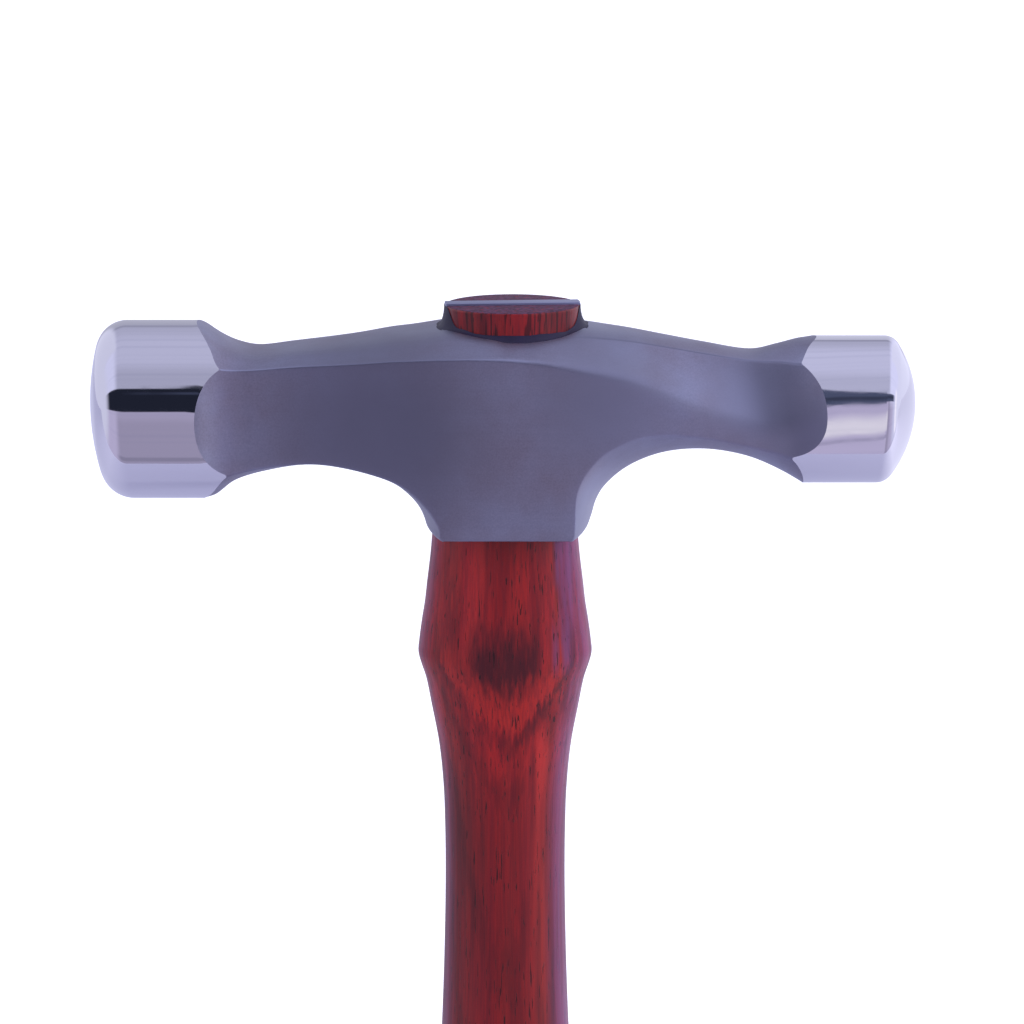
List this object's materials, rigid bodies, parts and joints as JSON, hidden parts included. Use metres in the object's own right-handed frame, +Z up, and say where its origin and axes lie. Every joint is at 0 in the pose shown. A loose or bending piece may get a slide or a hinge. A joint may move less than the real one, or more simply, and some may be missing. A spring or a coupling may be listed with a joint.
{
  "type": "planishing hammer",
  "caption": "Double-faced planishing hammer: domed round faces on a waisted steel head, wedged oval hardwood handle with a raised ring under the head.",
  "frame": {"origin": "centre of the flat butt end of the handle", "axes": "+Z up the handle to the head, +X towards the smaller face, +Y across the head"},
  "size_m": [0.1173, 0.0276, 0.2655],
  "materials": {
    "head_steel": "bead-blasted body with mirror-polished faces",
    "handle_wood": "oiled dark red hardwood",
    "wedge_steel": "ground flush",
    "resin": "cured navy resin"
  },
  "bodies": {
    "root": {"hammer_head": "head_steel", "handle": "handle_wood", "steel_wedge": "wedge_steel", "resin_bead": "resin"}
  },
  "joints": []
}
